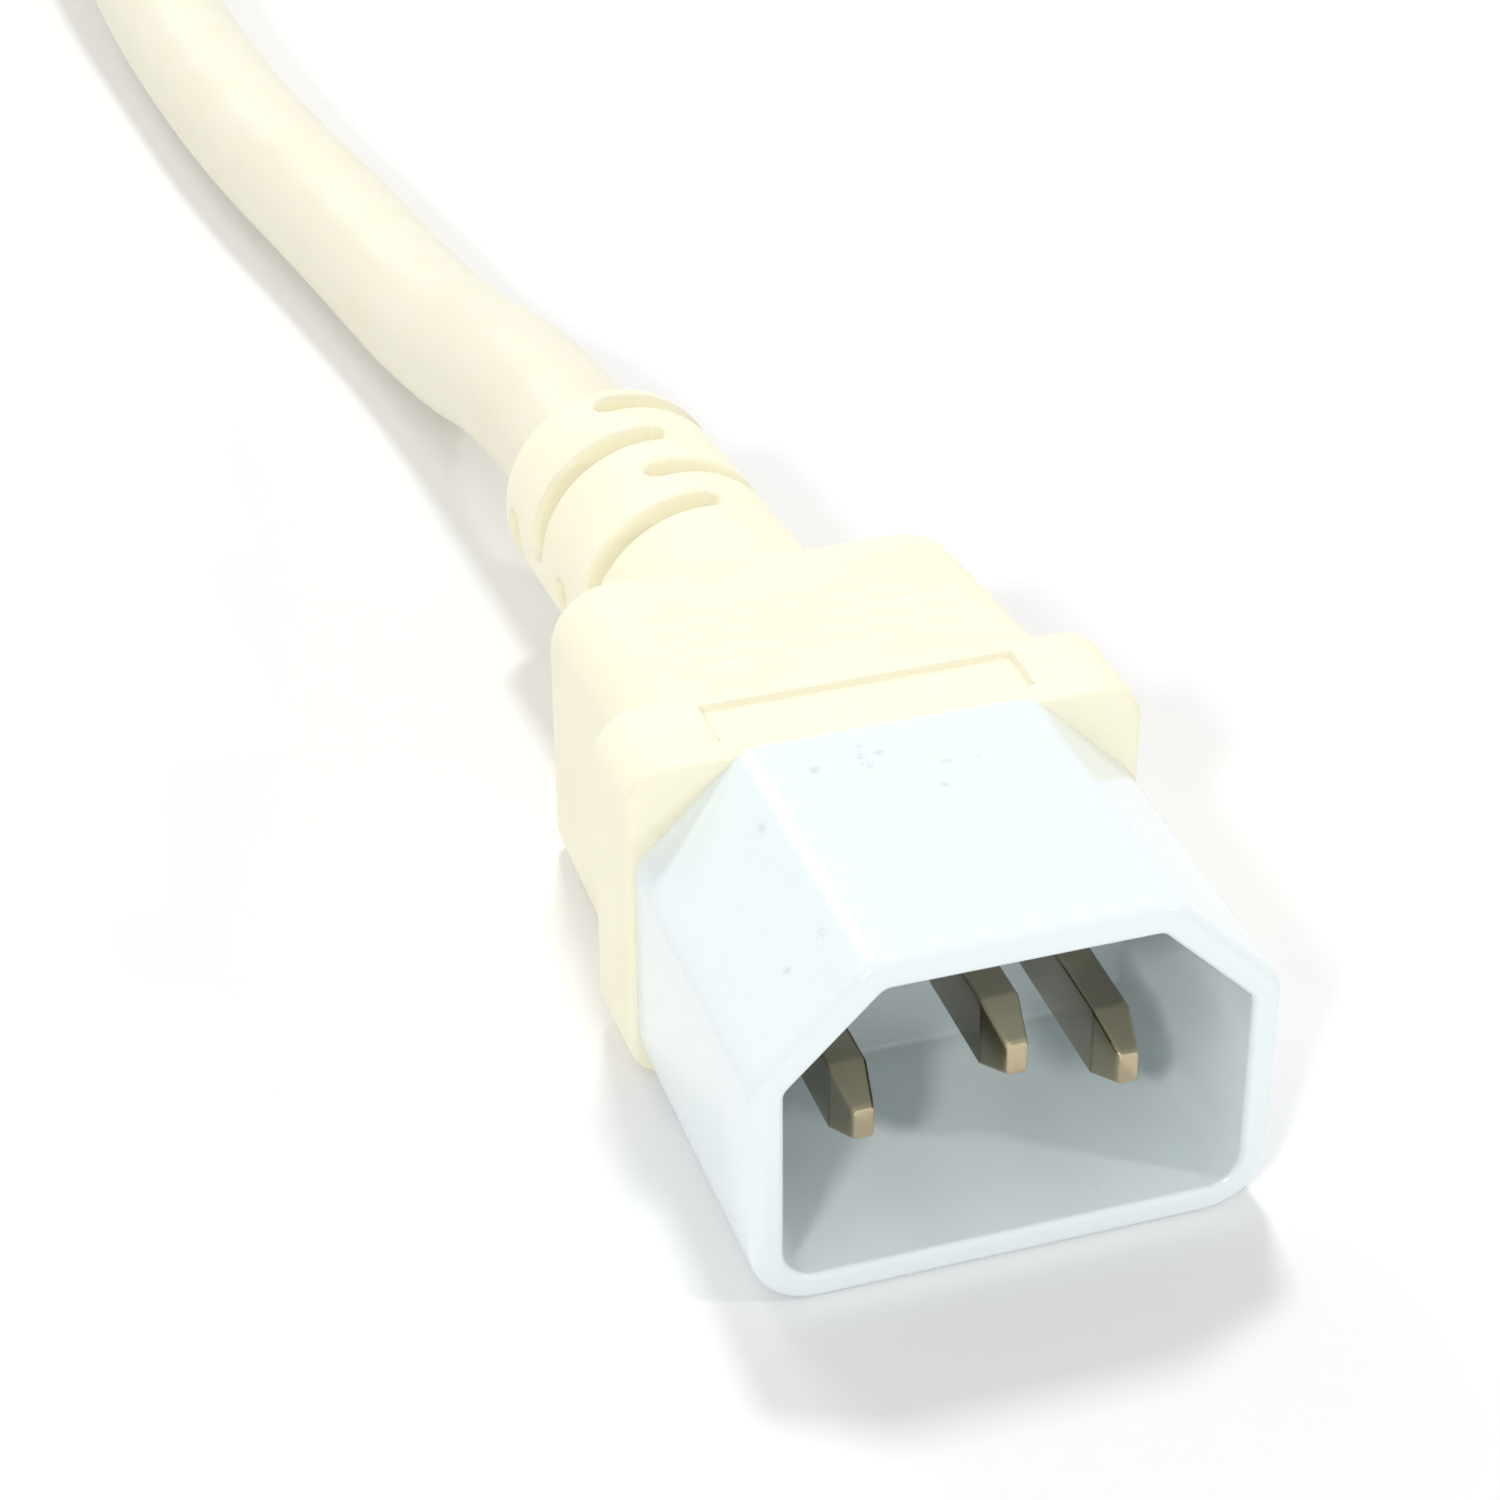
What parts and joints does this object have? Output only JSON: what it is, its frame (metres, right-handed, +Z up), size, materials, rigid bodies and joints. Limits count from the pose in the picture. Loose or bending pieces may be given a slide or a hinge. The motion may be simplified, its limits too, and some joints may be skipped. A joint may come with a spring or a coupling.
{
  "type": "y-splitter power cord",
  "caption": "Mains splitter lead: a hooded appliance plug feeds appliance sockets through a moulded Y block, in cream with slotted strain reliefs.",
  "frame": {"origin": "middle of the flat underside of the plug's flange, on the surface that the lead lies on", "axes": "+Z up, +Y from the plug's mouth along the lead to the sockets, +X across, to the right when looking along +Y"},
  "size_m": [0.0608, 0.4515, 0.02],
  "materials": {
    "overmould": "satin soft moulding, cream",
    "jacket": "satin, cream",
    "insert": "glossy, cool white",
    "pin": "dull nickel over brass",
    "contact": "bare",
    "splice": "tinned",
    "core_brown": "matt",
    "core_blue": "matt",
    "core_green": "matt, green with a yellow stripe"
  },
  "bodies": {
    "root": {"plug_insert": "insert", "plug_line_pin": "pin", "plug_neutral_pin": "pin", "plug_earth_pin": "pin", "plug_overmould": "overmould", "plug_line_core": "core_brown", "plug_neutral_core": "core_blue", "plug_earth_core": "core_green", "trunk_cord": "jacket", "tail_a_cord": "jacket", "tail_b_cord": "jacket", "splitter_body": "overmould", "splitter_line_splice": "splice", "splitter_line_core": "core_brown", "splitter_line_core_a": "core_brown", "splitter_line_core_b": "core_brown", "splitter_neutral_splice": "splice", "splitter_neutral_core": "core_blue", "splitter_neutral_core_a": "core_blue", "splitter_neutral_core_b": "core_blue", "splitter_earth_splice": "splice", "splitter_earth_core": "core_green", "splitter_earth_core_a": "core_green", "splitter_earth_core_b": "core_green", "socket_a_overmould": "overmould", "socket_a_insert": "insert", "socket_a_line_contact": "contact", "socket_a_line_core": "core_brown", "socket_a_neutral_contact": "contact", "socket_a_neutral_core": "core_blue", "socket_a_earth_contact": "contact", "socket_a_earth_core": "core_green", "socket_b_overmould": "overmould", "socket_b_insert": "insert", "socket_b_line_contact": "contact", "socket_b_line_core": "core_brown", "socket_b_neutral_contact": "contact", "socket_b_neutral_core": "core_blue", "socket_b_earth_contact": "contact", "socket_b_earth_core": "core_green"}
  },
  "joints": []
}
